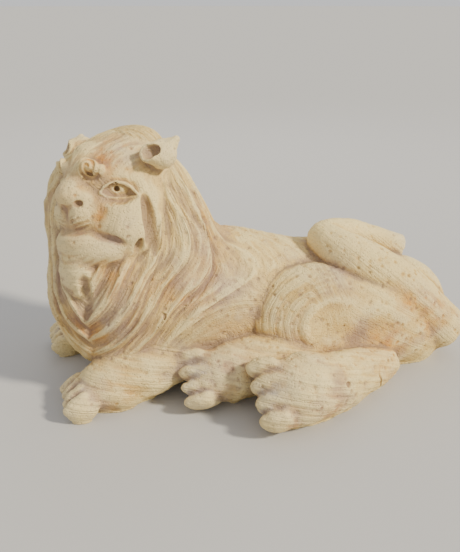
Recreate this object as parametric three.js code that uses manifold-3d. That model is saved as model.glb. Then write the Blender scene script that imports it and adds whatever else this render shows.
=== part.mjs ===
// A reclining lion, hand modelled in pale unglazed clay, as one closed solid.
// The figure is written as a distance field, skinned on a grid, thinned, and cut flat underneath.
// Millimetres. The lion faces -x, its left side is -y, z is up and the ground is z = 0.
import * as THREE from "three";
import { mergeVertices } from "three/addons/utils/BufferGeometryUtils.js";
import Module from "manifold-3d";

// How the masses meet
const FUR_BLEND = 18; // neck, mane and body
const FLESH_BLEND = 10; // limb and body
const FACE_BLEND = 6; // features of the face
const CREASE = 3; // a limb and what it lies on

// Mane: locks hang from the crown, bend forward and meet in a V on the chest.
const MANE_MIDDLE = [-120, 4];
const MANE_GIRTH = 88; // radius at which the locks are laid out
const V_TURN = THREE.MathUtils.degToRad(56); // to the lion's left
const V_TOP = 172; // height from which the slanting locks are counted
const V_SLOPE = 0.8;
const LOCK_BEND = 45; // how softly a hanging lock turns into a slanting one
const LOCK_PITCH = 25;
const LOCK_FIRST = 87; // the groove beside the cheek
const LOCK_DEPTH = 10;
const LOCK_WAVE = { by: 4, rise: 24, round: 31 };
const LOCK_START = [268, 226]; // heights between which the locks fade in, and out
const LOCK_END = [46, 84];
const MANE_EDGE = [102, 80]; // how far from that groove the locks fade out
const LOCK_RISE = 0.35; // share of the depth that stands proud
const LOCK_REACH = 80; // nearer the middle of the mane the locks are narrower, and shallower to match
const RIDGE = 0.12; // keeps the crest of a lock from being a knife edge

// Head, in its own frame from the neck: forward, to the lion's left, up. Those in pairs are mirrored.
const NECK = [-108, 4, 212];
const HEAD_TURN = THREE.MathUtils.degToRad(34); // to the lion's left
const HEAD_TILT = THREE.MathUtils.degToRad(9); // right ear down
const SKULL = { at: [6, 0, 8], radii: [62, 58, 57] };
const TOPKNOT = { at: [-6, 8, 45], radii: [34, 30, 23] };
const RUFF = { at: [-16, -4, -28], radii: [54, 76, 80] };
const CHEEK = { at: [32, 36, -22], radii: [36, 27, 36] };
const LIP_PAD = { at: [59, 13, -8], radii: [27, 17, 15] };
const NOSE_TIP = { at: [75, 0, 12], radii: [14, 17, 11] };
const NOSE_WING = { at: [66, 14, 7], radii: [13, 11, 9] };
const MUZZLE = { at: [45, 0, -20], radii: [38, 41, 30] };
const CHIN = { at: [51, 0, -45], radii: [41, 46, 24] };
const LOWER_LIP = { at: [64, 0, -33], radii: [28, 31, 12] };
const EYE = [47, 42, 12];
const EYE_TURN = THREE.MathUtils.degToRad(50); // from straight ahead
const EYE_SOCKET = { at: [0, 8, 0], radii: [21, 12, 12] }; // across, out, up
const EYEBALL = { at: [1, -13, 0], radii: [15, 13, 8.5] };
const BEARD = { at: [80, -2, -68], radii: [17, 23, 27] };
// Strands: each point is a place and the radius of clay there.
const NOSE_BRIDGE = [[46, 0, 42, 15], [73, 0, 13, 13]];
const MOUTH = [[92, 0, -20, 3.5], [82, 24, -22, 3.5], [64, 44, -34, 3.5], [54, 58, -46, 3]];
const BROW_CURL = [[64, 9, 34, 6], [63, 18, 39, 7], [57, 28, 34, 6]];
const EAR_CUP = [[20, 63, 42, 10], [4, 64, 39, 15], [-7, 75, 51, 4]];
const RIGHT_EAR_LIFT = 7;
const EAR_BOWL = [[40, 62, 46, 10], [17, 67, 44, 6]];
// Gouges beside the left cheek, in the head's frame, and one beside the beard
const LEAF_GOUGE = { at: [31, 60, -27], radii: [8, 9, 33] };
const SLIT_GOUGE = { at: [43, 53, -49], radii: [4.5, 6, 18] };
const BEARD_GOUGE = { at: [-168, -70, 128], radii: [7, 7, 25] };

// Body
const RIGHT_RUFF = { at: [-128, 40, 176], radii: [71, 80, 84] };
const CHEST = { at: [-126, 4, 106], radii: [78, 92, 96] };
const WITHERS = { at: [-76, 0, 148], radii: [64, 74, 68] };
const SPINE = [[-60, 0, 84, 84], [0, 0, 78, 82], [70, -6, 66, 76], [140, -12, 62, 74], [205, -30, 52, 62]];
const BELLY = [[-72, -30, 34, 34], [90, -50, 34, 42]];
const LEFT_THIGH = { at: [142, -56, 56], radii: [94, 58, 66] };
const LEFT_KNEE = { at: [74, -62, 62], radii: [76, 47, 70] };
const LEFT_RUMP = { at: [205, -52, 34], radii: [58, 46, 48] };
const RIGHT_THIGH = { at: [150, 26, 58], radii: [92, 58, 72] };
const FLANK_HOLLOW = { at: [126, -138, 64], radii: [48, 30, 24] };
const TAIL = [
  [243, -70, 40, 30], [197, -68, 84, 31], [154, -60, 117, 29],
  [121, -46, 137, 25], [110, -24, 146, 20], [146, -10, 145, 17], [184, -8, 132, 16], [224, -8, 118, 14],
];
const TAIL_STEPS = 24;
const TAIL_TURN = 14; // the step where the tail doubles back
const TAIL_TRIM = 6; // how far short of its end the tip is cut square

// Limbs
const LEFT_ARM = [[-50, -46, 46, 32], [-112, -66, 33, 32], [-154, -72, 25, 28]];
const RIGHT_ARM = [[-50, 56, 40, 44], [-110, 60, 32, 38], [-164, 66, 20, 25]];
const LEFT_SHANK = [[150, -108, 21, 21], [80, -140, 29, 32], [30, -154, 34, 36]];
const RIGHT_SHANK = [[80, -74, 40, 36], [0, -92, 34, 33], [-36, -96, 32, 28]];
const LEVEL = [0, -1, 0]; // the row of toes of a forepaw
const SLANT = [0, -0.75, -0.66]; // and of a hind paw lying on its side
const FOREPAW = { row: LEVEL, width: 44, pad: 27, digit: 15 };
const LEFT_FOREPAW = { ...FOREPAW, heel: [-148, -72, 22], toe: [-175, -75, 17] };
const RIGHT_FOREPAW = { ...FOREPAW, heel: [-156, 66, 20], toe: [-181, 69, 16] };
const LEFT_HINDPAW = { row: SLANT, width: 56, pad: 35, digit: 17, heel: [36, -150, 35], toe: [9, -155, 36] };
const RIGHT_HINDPAW = {
  row: SLANT,
  width: 48,
  pad: 30,
  digit: 15,
  heel: [-26, -96, 32],
  toe: [-53, -99, 31],
};
const TOES = 4;
const PAD_TAPER = 0.5;
const TOE_REACH = 0.28; // as a share of the pad
const TOE_LENGTH = 17; // half of it, as is the width
const TOE_WIDTH = 0.6; // as a share of the step from toe to toe

// Skin
const CELL = 4; // grid step
const SKIN_TRIANGLES = 9800;
const ROUND_SHARE = 0.3; // of the edges, the cheapest, are looked at in a round of thinning
const LEAST_AGREEMENT = 0.3; // between a triangle's direction before and after a fold
const FOOT_HEIGHT = 3; // below this the walls go straight down to the ground
const SPARE_CLAY = 9; // modelled below the ground, then cut off flat
const FIELD_BOX = { low: [-232, -218, -2 * SPARE_CLAY], high: [298, 134, 306] };

// Distance field pieces
const dot = (a, b) => a[0] * b[0] + a[1] * b[1] + a[2] * b[2];
const less = (a, b) => [a[0] - b[0], a[1] - b[1], a[2] - b[2]];
const size = (a) => Math.sqrt(dot(a, a));
const unit = (a) => a.map((v) => v / size(a));
const cross = (a, b) => new THREE.Vector3(...a).cross(new THREE.Vector3(...b)).toArray();
const clamp01 = (v) => Math.min(1, Math.max(0, v));
const ease = ([low, high], v) => {
  const t = clamp01((v - low) / (high - low));
  return t * t * (3 - 2 * t);
};

function join(a, b, soft) {
  const overlap = Math.max(soft - Math.abs(a - b), 0) / soft;
  return Math.min(a, b) - (overlap * overlap * soft) / 4;
}

const carve = (a, b, soft) => -join(-a, b, soft);

function egg(p, { at, radii }) {
  const x = (p[0] - at[0]) / radii[0];
  const y = (p[1] - at[1]) / radii[1];
  const z = (p[2] - at[2]) / radii[2];
  const near = Math.sqrt(x * x + y * y + z * z);
  const slope = Math.sqrt((x / radii[0]) ** 2 + (y / radii[1]) ** 2 + (z / radii[2]) ** 2);
  return (near * (near - 1)) / (slope + 1e-9);
}

// A length of clay, round in section, between two points that carry a radius.
function bone(p, from, to) {
  const line = less(to, from);
  const q = less(p, from);
  const t = clamp01(dot(q, line) / dot(line, line));
  const off = [q[0] - line[0] * t, q[1] - line[1] * t, q[2] - line[2] * t];
  return size(off) - (from[3] + (to[3] - from[3]) * t);
}

function strand(p, points) {
  let near = Infinity;
  for (let i = 1; i < points.length; i++) near = Math.min(near, bone(p, points[i - 1], points[i]));
  return near;
}

// A strand with its corners rounded into a smooth curve.
function smoothed(points, steps) {
  const curve = new THREE.CatmullRomCurve3(points.map((v) => new THREE.Vector3(...v)));
  return Array.from({ length: steps + 1 }, (_, i) => {
    const along = (i / steps) * (points.length - 1);
    const from = Math.min(points.length - 2, Math.floor(along));
    const radius = THREE.MathUtils.lerp(points[from][3], points[from + 1][3], along - from);
    return [...curve.getPoint(i / steps).toArray(), radius];
  });
}

// Head
const HEAD_FORWARD = [-Math.cos(HEAD_TURN), -Math.sin(HEAD_TURN), 0];
const LEVEL_LEFT = [Math.sin(HEAD_TURN), -Math.cos(HEAD_TURN), 0];
const headPlace = (p) => {
  const q = less(p, NECK);
  const left = dot(q, LEVEL_LEFT);
  const cos = Math.cos(HEAD_TILT);
  const sin = Math.sin(HEAD_TILT);
  return [dot(q, HEAD_FORWARD), left * cos + q[2] * sin, q[2] * cos - left * sin];
};
const mirrored = (h) => [h[0], Math.abs(h[1]), h[2]];

// The eye's own frame: towards the outer corner, out of the face, up.
function eyePlace(side) {
  const q = less(side, EYE);
  const [c, n] = [Math.cos(EYE_TURN), Math.sin(EYE_TURN)];
  return [c * q[1] - n * q[0], c * q[0] + n * q[1], q[2]];
}

function face(h) {
  const side = mirrored(h);
  let d = join(egg(h, SKULL), egg(side, CHEEK), FUR_BLEND);
  d = join(d, strand(h, NOSE_BRIDGE), FLESH_BLEND);
  d = join(d, egg(h, MUZZLE), FLESH_BLEND);
  d = join(d, egg(h, NOSE_TIP), FACE_BLEND);
  d = join(d, egg(side, NOSE_WING), FACE_BLEND);
  d = join(d, egg(side, LIP_PAD), FLESH_BLEND);
  d = join(d, join(egg(h, CHIN), egg(h, LOWER_LIP), FLESH_BLEND), FACE_BLEND);
  d = join(d, egg(h, BEARD), FACE_BLEND);
  d = carve(d, strand(side, MOUTH), CREASE);
  d = join(d, strand(side, BROW_CURL), FACE_BLEND);
  const eye = eyePlace(side);
  d = carve(d, egg(eye, EYE_SOCKET), FACE_BLEND);
  return join(d, egg(eye, EYEBALL), CREASE);
}

function ears(h) {
  const side = mirrored(h);
  side[2] -= h[1] < 0 ? RIGHT_EAR_LIFT : 0;
  return carve(strand(side, EAR_CUP), strand(side, EAR_BOWL), CREASE);
}

// Mane
function flutes(p) {
  const ahead = MANE_MIDDLE[0] - p[0];
  const left = MANE_MIDDLE[1] - p[1];
  const turn = Math.atan2(left, ahead) - V_TURN;
  const around = MANE_GIRTH * Math.abs(Math.atan2(Math.sin(turn), Math.cos(turn)));
  const fall = V_TOP - p[2] + V_SLOPE * around;
  const wave = LOCK_WAVE.by * Math.sin(p[2] / LOCK_WAVE.rise + around / LOCK_WAVE.round);
  const lane = (around + fall + Math.hypot(around - fall, LOCK_BEND)) / 2 + wave - LOCK_FIRST;
  const gouge = Math.sqrt(Math.cos((Math.PI * lane) / LOCK_PITCH) ** 2 + RIDGE) - LOCK_RISE;
  const narrow = Math.min(1, Math.hypot(ahead, left) / LOCK_REACH);
  return gouge * narrow * ease(LOCK_START, p[2]) * ease(LOCK_END, p[2]) * ease(MANE_EDGE, lane);
}

function gouges(p, h) {
  return Math.min(egg(h, LEAF_GOUGE), egg(h, SLIT_GOUGE), egg(p, BEARD_GOUGE));
}

function foreparts(p, h) {
  let d = join(egg(h, RUFF), egg(p, CHEST), FUR_BLEND);
  d = join(d, egg(p, RIGHT_RUFF), FUR_BLEND);
  d = join(d, egg(p, WITHERS), FUR_BLEND);
  d = join(d, egg(h, TOPKNOT), FUR_BLEND);
  d = join(d, strand(p, SPINE), FUR_BLEND);
  d = join(d, strand(p, BELLY), FUR_BLEND);
  return d + LOCK_DEPTH * flutes(p);
}

// Hindquarters
function haunches(p) {
  const thigh = join(egg(p, LEFT_THIGH), egg(p, LEFT_KNEE), FUR_BLEND);
  const left = carve(join(thigh, egg(p, LEFT_RUMP), FUR_BLEND), egg(p, FLANK_HOLLOW), FUR_BLEND);
  return Math.min(left, egg(p, RIGHT_THIGH));
}

const TAIL_CURVE = smoothed(TAIL, TAIL_STEPS);
const TAIL_END = TAIL_CURVE[TAIL_STEPS];
const TAIL_OUT = unit(less(TAIL_END, TAIL_CURVE[TAIL_STEPS - 1]));
function tail(p) {
  const root = strand(p, TAIL_CURVE.slice(0, TAIL_TURN + 1));
  const beyond = dot(less(p, TAIL_END), TAIL_OUT) + TAIL_TRIM;
  const tip = Math.max(strand(p, TAIL_CURVE.slice(TAIL_TURN)), beyond);
  return Math.min(root, tip);
}

// A paw: a pad with toes in a row across its front.
function paw(p, { heel, toe, row, width, pad, digit }) {
  const out = unit(less(toe, heel));
  const rise = cross(out, row);
  const step = width / (TOES - 1);
  const mass = { at: [TOE_REACH * pad, 0, 0], radii: [TOE_LENGTH, step * TOE_WIDTH, digit] };
  let d = bone(p, [...heel, pad], [...toe, pad * PAD_TAPER]);
  for (let i = 0; i < TOES; i++) {
    const across = i * step - width / 2;
    const q = less(p, toe.map((v, k) => v + row[k] * across));
    d = join(d, egg([dot(q, out), dot(q, row), dot(q, rise)], mass), CREASE);
  }
  return d;
}

function limb(p, bones, foot) {
  return join(strand(p, bones), paw(p, foot), FLESH_BLEND);
}

function lion(place) {
  const p = [place[0], place[1], Math.max(place[2], FOOT_HEIGHT)];
  const h = headPlace(p);
  let d = join(foreparts(p, h), face(h), FACE_BLEND);
  d = join(d, ears(h), FACE_BLEND);
  d = carve(d, gouges(p, h), CREASE);
  d = join(d, haunches(p), CREASE);
  d = join(d, limb(p, LEFT_ARM, LEFT_FOREPAW), FLESH_BLEND);
  d = join(d, limb(p, RIGHT_ARM, RIGHT_FOREPAW), FLESH_BLEND);
  d = join(d, limb(p, LEFT_SHANK, LEFT_HINDPAW), CREASE);
  d = join(d, limb(p, RIGHT_SHANK, RIGHT_HINDPAW), CREASE);
  d = join(d, tail(p), CREASE);
  return Math.max(d, -SPARE_CLAY - place[2]);
}

// Where only two diagonal corners of a grid square are inside, the skin would pinch:
// the faintest of the four changes sides.
function unpinch(value, step) {
  for (let axis = 0; axis < 3; axis++) {
    const u = step[(axis + 1) % 3];
    const v = step[(axis + 2) % 3];
    for (let n = 0; n + u + v < value.length; n++) {
      const square = [n, n + u, n + u + v, n + v];
      const inside = square.map((m) => value[m] < 0);
      if (inside[0] !== inside[2] || inside[1] !== inside[3] || inside[0] === inside[1]) continue;
      const faint = square.reduce((a, b) => (Math.abs(value[a]) < Math.abs(value[b]) ? a : b));
      value[faint] = -Math.sign(value[faint]) * 1e-3;
    }
  }
}

// Skin: one vertex in each grid cell that the surface crosses, at the mean of its edge crossings.
function skin(field, box, cell) {
  const count = box.low.map((v, i) => Math.ceil((box.high[i] - v) / cell) + 1);
  const step = [1, count[0], count[0] * count[1]];
  const corner = (i, j, k) => [i, j, k].map((n, axis) => box.low[axis] + n * cell);
  const value = new Float32Array(step[2] * count[2]);
  for (let k = 0, n = 0; k < count[2]; k++)
    for (let j = 0; j < count[1]; j++)
      for (let i = 0; i < count[0]; i++, n++) value[n] = field(corner(i, j, k));

  unpinch(value, step);
  const vertexOf = new Int32Array(value.length).fill(-1);
  const places = [];
  for (let k = 0; k < count[2] - 1; k++)
    for (let j = 0; j < count[1] - 1; j++)
      for (let i = 0; i < count[0] - 1; i++) {
        const n = i + j * step[1] + k * step[2];
        const sum = [0, 0, 0];
        let crossings = 0;
        for (let axis = 0; axis < 3; axis++) {
          const u = (axis + 1) % 3;
          const v = (axis + 2) % 3;
          for (let side = 0; side < 4; side++) {
            const offset = [0, 0, 0];
            offset[u] = side & 1;
            offset[v] = side >> 1;
            const from = n + offset[0] * step[0] + offset[1] * step[1] + offset[2] * step[2];
            const a = value[from];
            const b = value[from + step[axis]];
            if (a < 0 === b < 0) continue;
            offset[axis] = a / (a - b);
            offset.forEach((o, m) => (sum[m] += o));
            crossings++;
          }
        }
        if (!crossings) continue;
        vertexOf[n] = places.length;
        const base = corner(i, j, k);
        places.push(sum.map((s, m) => base[m] + (s / crossings) * cell));
      }

  const faces = [];
  for (let k = 1; k < count[2] - 1; k++)
    for (let j = 1; j < count[1] - 1; j++)
      for (let i = 1; i < count[0] - 1; i++) {
        const n = i + j * step[1] + k * step[2];
        for (let axis = 0; axis < 3; axis++) {
          const inside = value[n] < 0;
          if (inside === value[n + step[axis]] < 0) continue;
          const u = step[(axis + 1) % 3];
          const v = step[(axis + 2) % 3];
          const ring = [n, n - u, n - u - v, n - v].map((m) => vertexOf[m]);
          if (!inside) ring.reverse();
          faces.push([ring[0], ring[1], ring[2]], [ring[0], ring[2], ring[3]]);
        }
      }
  return { places, faces };
}

// How far a point lies off the plane of a triangle, squared and weighted by its area, as ten factors.
function planeFactors(a, b, c) {
  const normal = cross(less(b, a), less(c, a));
  const area = size(normal);
  const [x, y, z] = normal.map((v) => v / (area || 1));
  const w = -dot([x, y, z], a);
  return [x * x, x * y, x * z, x * w, y * y, y * z, y * w, z * z, z * w, w * w].map((v) => v * area);
}

function offPlanes(q, [x, y, z]) {
  const squares = q[0] * x * x + q[4] * y * y + q[7] * z * z + q[9];
  return squares + 2 * (q[1] * x * y + q[2] * x * z + q[3] * x + q[5] * y * z + q[6] * y + q[8] * z);
}

// The point for two that become one: where the planes around them meet, or else on the edge.
function meetingPoint(q, a, b) {
  const length = size(less(a, b));
  const middle = a.map((v, k) => (v + b[k]) / 2);
  const choices = [a, b, middle];
  const slopes = new THREE.Matrix3().set(q[0], q[1], q[2], q[1], q[4], q[5], q[2], q[5], q[7]);
  const meeting = new THREE.Vector3(-q[3], -q[6], -q[8]).applyMatrix3(slopes.invert()).toArray();
  if (size(less(meeting, middle)) < length) choices.push(meeting);
  return choices.reduce((best, v) => (offPlanes(q, v) < offPlanes(q, best) ? v : best));
}

// One round of thinning: edges whose loss changes the skin least are folded away, each apart from the rest.
function foldEdges(places, faces, factors, spare) {
  const around = places.map(() => []);
  faces.forEach((face) => face.forEach((v) => around[v].push(face)));
  const edges = [];
  for (const face of faces)
    for (let k = 0; k < 3; k++) {
      const [a, b] = [face[k], face[(k + 1) % 3]];
      if (a > b) continue;
      const q = factors[a].map((v, m) => v + factors[b][m]);
      const at = meetingPoint(q, places[a], places[b]);
      edges.push({ a, b, q, at, cost: offPlanes(q, at) });
    }
  edges.sort((one, other) => one.cost - other.cost);
  const settled = new Set();
  const lost = new Set();
  for (const { a, b, q, at } of edges.slice(0, edges.length * ROUND_SHARE)) {
    if (lost.size >= spare) break;
    const near = [...around[a], ...around[b]];
    const ring = new Set(near.flat());
    if ([...ring].some((v) => settled.has(v))) continue;
    const shared = around[a].filter((face) => face.includes(b));
    const others = new Set(around[b].flat());
    const common = [...new Set(around[a].flat())].filter((v) => others.has(v));
    const turns = near.some((face) => !shared.includes(face) && turnsOver(places, face, a, b, at));
    if (common.length !== 4 || turns) continue;
    places[a] = at;
    factors[a] = q;
    shared.forEach((face) => lost.add(face));
    around[b].forEach((face) => face.splice(face.indexOf(b), 1, a));
    ring.forEach((v) => settled.add(v));
  }
  return faces.filter((face) => !lost.has(face));
}

function turnsOver(places, face, a, b, at) {
  const before = face.map((v) => places[v]);
  const after = face.map((v) => (v === a || v === b ? at : places[v]));
  const [one, other] = [before, after].map(([p, q, r]) => cross(less(q, p), less(r, p)));
  return dot(one, other) < LEAST_AGREEMENT * size(one) * size(other);
}

function thin({ places, faces }, triangles) {
  const factors = places.map(() => new Array(10).fill(0));
  for (const face of faces) {
    const planes = planeFactors(...face.map((v) => places[v]));
    face.forEach((v) => planes.forEach((f, m) => (factors[v][m] += f)));
  }
  let left = faces;
  while (left.length > triangles) left = foldEdges(places, left, factors, left.length - triangles);
  const used = [...new Set(left.flat())];
  const numberOf = new Map(used.map((v, i) => [v, i]));
  const geometry = new THREE.BufferGeometry();
  geometry.setAttribute("position", new THREE.Float32BufferAttribute(used.flatMap((v) => places[v]), 3));
  return geometry.setIndex(left.flatMap((face) => face.map((v) => numberOf.get(v))));
}

// Cut the underside flat, as the fired figure stands on a shelf.
const wasm = await Module();
wasm.setup();
const solidOf = (geometry) =>
  new wasm.Manifold(
    new wasm.Mesh({
      numProp: 3,
      vertProperties: new Float32Array(geometry.getAttribute("position").array),
      triVerts: new Uint32Array(geometry.index.array),
    }),
  );

function cutFlat(geometry) {
  const reach = 1000;
  const below = new THREE.BoxGeometry(reach, reach, reach).translate(0, 0, -reach / 2);
  below.deleteAttribute("normal");
  below.deleteAttribute("uv");
  const made = solidOf(geometry).subtract(solidOf(mergeVertices(below))).getMesh();
  const cut = new THREE.BufferGeometry();
  cut.setAttribute("position", new THREE.BufferAttribute(made.vertProperties, 3));
  return cut.setIndex(new THREE.BufferAttribute(made.triVerts, 1));
}

// The origin goes to the middle of the footprint.
function centred(geometry) {
  geometry.computeBoundingBox();
  const middle = geometry.boundingBox.getCenter(new THREE.Vector3());
  return geometry.translate(-middle.x, -middle.y, 0);
}

const thinned = thin(skin(lion, FIELD_BOX, CELL), SKIN_TRIANGLES);
const geometry = centred(cutFlat(thinned));
geometry.computeVertexNormals();
const clay = new THREE.MeshStandardMaterial({ color: 0xd9c7a0, roughness: 0.9, metalness: 0 });
const statue = new THREE.Mesh(geometry, clay);
statue.name = "lion";
const group = new THREE.Group();
group.add(statue);
export default group;
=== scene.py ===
import math

import bpy
import numpy as np
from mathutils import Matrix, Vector


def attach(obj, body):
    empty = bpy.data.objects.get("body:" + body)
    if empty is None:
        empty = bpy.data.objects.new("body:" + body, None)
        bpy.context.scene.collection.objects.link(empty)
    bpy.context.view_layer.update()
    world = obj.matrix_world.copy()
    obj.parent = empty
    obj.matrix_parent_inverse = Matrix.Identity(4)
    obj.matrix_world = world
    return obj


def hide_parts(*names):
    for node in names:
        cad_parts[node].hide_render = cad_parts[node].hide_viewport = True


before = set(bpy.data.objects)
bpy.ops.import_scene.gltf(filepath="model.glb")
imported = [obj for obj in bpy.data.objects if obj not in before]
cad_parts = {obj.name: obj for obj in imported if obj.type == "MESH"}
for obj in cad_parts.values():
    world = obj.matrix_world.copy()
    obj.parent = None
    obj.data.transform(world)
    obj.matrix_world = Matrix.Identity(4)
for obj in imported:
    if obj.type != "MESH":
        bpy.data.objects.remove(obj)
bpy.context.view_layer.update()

# Sizes are in millimetres in the sculptor's own frame, as in the solid; the finished mesh is in metres.
MM = 0.001
FOOTPRINT_MIDDLE = np.array([34.04, -35.33, 0.0])

# How the masses meet
FUR_BLEND = 18      # neck, mane and body
FLESH_BLEND = 10    # limb and body
FACE_BLEND = 6      # features of the face
CREASE = 3          # a limb and what it lies on

# Mane: locks hang from the crown, bend forward and meet in a V on the chest.
MANE_MIDDLE = (-120, 4)
MANE_GIRTH = 88
V_TURN = math.radians(56)
V_TOP = 172
V_SLOPE = 0.8
LOCK_BEND = 45
LOCK_PITCH = 25
LOCK_FIRST = 87
LOCK_DEPTH = 10
LOCK_WAVE = (4, 24, 31)
LOCK_START = (268, 226)
LOCK_END = (46, 84)
MANE_EDGE = (102, 80)
LOCK_RISE = 0.35
LOCK_REACH = 80
RIDGE = 0.12

# Head, in its own frame from the neck: forward, to the lion's left, up.
NECK = np.array([-108, 4, 212.0])
HEAD_TURN = math.radians(34)
HEAD_TILT = math.radians(9)
SKULL = ((6, 0, 8), (62, 58, 57))
TOPKNOT = ((-6, 8, 45), (34, 30, 23))
RUFF = ((-16, -4, -28), (54, 76, 80))
CHEEK = ((32, 36, -22), (36, 27, 36))
LIP_PAD = ((59, 13, -8), (27, 17, 15))
NOSE_TIP = ((75, 0, 12), (14, 17, 11))
NOSE_WING = ((66, 14, 7), (13, 11, 9))
MUZZLE = ((45, 0, -20), (38, 41, 30))
CHIN = ((51, 0, -45), (41, 46, 24))
LOWER_LIP = ((64, 0, -33), (28, 31, 12))
EYE = np.array([47, 42, 12], np.float32)
EYE_TURN = math.radians(50)
EYE_SOCKET = ((0, 8, 0), (21, 12, 12))
EYEBALL = ((1, -13, 0), (15, 13, 8.5))
NOSE_BRIDGE = ((46, 0, 42, 15), (73, 0, 13, 13))
BEARD = ((80, -2, -68), (17, 23, 27))
MOUTH = ((92, 0, -20, 3.5), (82, 24, -22, 3.5), (64, 44, -34, 3.5), (54, 58, -46, 3))
BROW_CURL = ((64, 9, 34, 6), (63, 18, 39, 7), (57, 28, 34, 6))
EAR_CUP = ((20, 63, 42, 10), (4, 64, 39, 15), (-7, 75, 51, 4))
RIGHT_EAR_LIFT = 7
EAR_BOWL = ((40, 62, 46, 10), (17, 67, 44, 6))

# Gouges beside the cheek, in the head's frame, and one beside the beard
LEAF_GOUGE = ((31, 60, -27), (8, 9, 33))
SLIT_GOUGE = ((43, 53, -49), (4.5, 6, 18))
BEARD_GOUGE = ((-168, -70, 128), (7, 7, 25))

# Body
RIGHT_RUFF = ((-128, 40, 176), (71, 80, 84))
CHEST = ((-126, 4, 106), (78, 92, 96))
WITHERS = ((-76, 0, 148), (64, 74, 68))
SPINE = ((-60, 0, 84, 84), (0, 0, 78, 82), (70, -6, 66, 76), (140, -12, 62, 74), (205, -30, 52, 62))
BELLY = ((-72, -30, 34, 34), (90, -50, 34, 42))
LEFT_THIGH = ((142, -56, 56), (94, 58, 66))
LEFT_KNEE = ((74, -62, 62), (76, 47, 70))
LEFT_RUMP = ((205, -52, 34), (58, 46, 48))
RIGHT_THIGH = ((150, 26, 58), (92, 58, 72))
FLANK_HOLLOW = ((126, -138, 64), (48, 30, 24))
TAIL = ((243, -70, 40, 30), (197, -68, 84, 31), (154, -60, 117, 29), (121, -46, 137, 25),
        (110, -24, 146, 20), (146, -10, 145, 17), (184, -8, 132, 16), (224, -8, 118, 14))
TAIL_STEPS = 48
TAIL_TURN = 28
TAIL_TRIM = 6
TAIL_FRONT = 80      # nothing of the tail lies ahead of this
TAIL_NEAR = 30

# Limbs
LEFT_ARM = ((-50, -46, 46, 32), (-112, -66, 33, 32), (-154, -72, 25, 28))
RIGHT_ARM = ((-50, 56, 40, 44), (-110, 60, 32, 38), (-164, 66, 20, 25))
LEFT_SHANK = ((150, -108, 21, 21), (80, -140, 29, 32), (30, -154, 34, 36))
RIGHT_SHANK = ((80, -74, 40, 36), (0, -92, 34, 33), (-36, -96, 32, 28))
LEVEL = (0, -1, 0)
SLANT = (0, -0.75, -0.66)
LEFT_FOREPAW = dict(heel=(-148, -72, 22), toe=(-175, -75, 17), row=LEVEL, width=44, pad=27, digit=15)
RIGHT_FOREPAW = dict(heel=(-156, 66, 20), toe=(-181, 69, 16), row=LEVEL, width=44, pad=27, digit=15)
LEFT_HINDPAW = dict(heel=(36, -150, 35), toe=(9, -155, 36), row=SLANT, width=56, pad=35, digit=17)
RIGHT_HINDPAW = dict(heel=(-26, -96, 32), toe=(-53, -99, 31), row=SLANT, width=48, pad=30, digit=15)
TOES = 4
PAD_TAPER = 0.5
TOE_REACH = 0.28
TOE_LENGTH = 17
TOE_WIDTH = 0.6
FOOT_HEIGHT = 3

# Fine carving on top of the solid's form
SHARP = 1               # blend of a sharp cut
FAR_OFF = 9             # beyond any carving's blend
CREST_ROUNDING = 0.05   # of the crests between grooves
CREST_RISE = 0.55
PATCH_EDGE = 0.35       # share of a carved patch over which it fades
STRAND_PITCH = 8.3      # strands within a lock
STRAND_DEPTH = 2.6
STRAND_UNEVEN = 0.45
CLOSE_PITCH = 0.55 * STRAND_PITCH
CLOSE_STRANDS = 0.4
UPPER_MANE = ((-30, -70), (90, 140))    # where it starts and is full, in x and z
BACK_STRANDS = 0.55     # share of their depth behind the locks
FLANK = ((-40, 0), (170, 120))
FLANK_LEAN = 0.45
FLANK_WAVE = (6, 21)    # depth and length of a wave in the lines
FLANK_PITCH = 9.5
FLANK_DEPTH = 0.4
EYE_REACH = 34          # how far from its middle each carving works
CURL_REACH = 24
MUZZLE_REACH = 62
BROW_REACH = 75
UPPER_LID = (
    (-18, -1, 0), (-14, -0.5, 4.5), (-8, 0, 7.2), (-1, 0.3, 7.6), (6, 0.3, 5.2), (12, 1, 0.5), (18, 4, -8),
)
LOWER_LID = ((-18, -1, -1), (-12, 0, -6), (-2, 0.3, -8.4), (8, 0.6, -9), (18, 4, -9))
LID = 1.9
LID_CREASE = 1.2
FOLD = 1.1
FOLD_CREASE = 1.5
LID_FOLD = ((-15, 0, 9), (-8, 0.8, 12), (0, 0.8, 12.5), (8, 0.8, 10), (15, 2.5, 3))
PUPIL = ((-2.3, 3, 0.7, 2.7), (-2.3, -6, 0.7, 2.2))
IRIS = 6.5
IRIS_LINE = 1.0
IRIS_GAP = 2            # the ring leaves off towards the outer corner
NOSTRIL = ((80, 17.5, 4.5), (5, 4, 2.8))
NOSTRIL_CREASE = 1.5
PHILTRUM = ((86, 0, 2, 1.6), (87, 0, -18, 1.6))
PHILTRUM_CREASE = 2
WHISKERS = ((80, 15, -13), (15, 14, 11))
WHISKER_SLOPE = 0.25
WHISKER_PITCH = 4.8
WHISKER_DEPTH = 1.8
CURL = np.array([66, 24, 38], np.float32)
CURL_PITCH = 5.5
CURL_DEPTH = 2.8
CURL_FACES = (0.75, 0.45, 0.48)
CURL_RIM = (14, 10)     # where it starts and is full, from its middle and from its face
CURL_THICK = (14, 9)
CHIN_LINES = ((72, 0, -52), (30, 42, 18))
CHIN_SLOPE = 0.3
CHIN_WAVE = (2.5, 9)
CHIN_PITCH = 6.5
CHIN_DEPTH = 1.3
SWIRL = (89, 77)        # on the left thigh, in x and z
SWIRL_RISE = 1.25
SWIRL_PITCH = 6.8
SWIRL_DEPTH = 0.6
SWIRL_INNER = (34, 44)  # where its rings start and are full
SWIRL_OUTER = (100, 84)
SWIRL_AHEAD = (25, -15)
SWIRL_WAVE = (2.2, 13, 17)
SWIRL_UNEVEN = 0.25
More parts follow.
